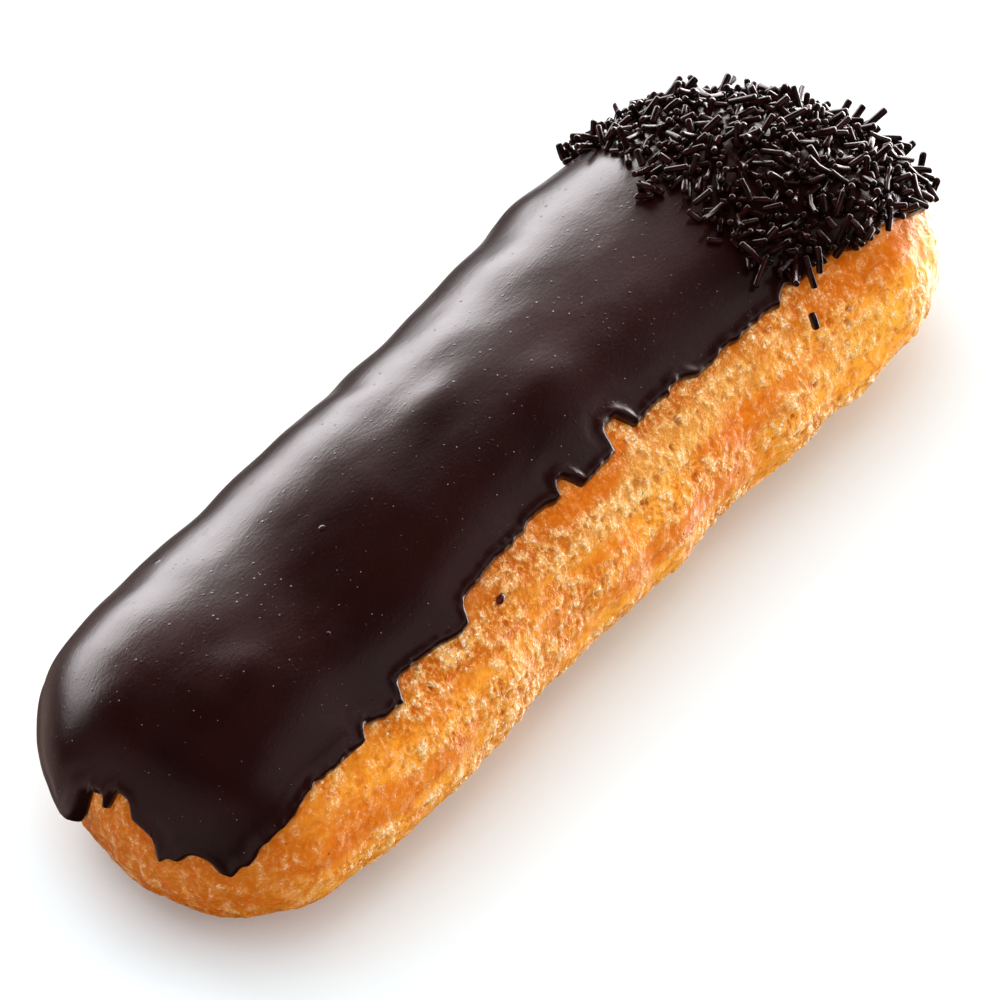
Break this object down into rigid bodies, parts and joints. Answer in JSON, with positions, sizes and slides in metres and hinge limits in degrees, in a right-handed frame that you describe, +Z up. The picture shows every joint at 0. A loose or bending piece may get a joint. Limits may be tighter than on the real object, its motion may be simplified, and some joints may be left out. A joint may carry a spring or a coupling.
{
  "type": "chocolate eclair",
  "caption": "Long baked choux bar with a glossy dark chocolate icing dipped over its top, its edge dripping down the sides.",
  "frame": {"origin": "centre of the box round the part, on the flat underside", "axes": "+X along the bar towards the end with the sprinkles, -Y the side shown in front, +Z up"},
  "size_m": [0.15, 0.0508, 0.0376],
  "materials": {
    "choux": null,
    "icing": null
  },
  "bodies": {
    "root": {"choux_bar": "choux", "chocolate_icing": "icing"}
  },
  "joints": []
}
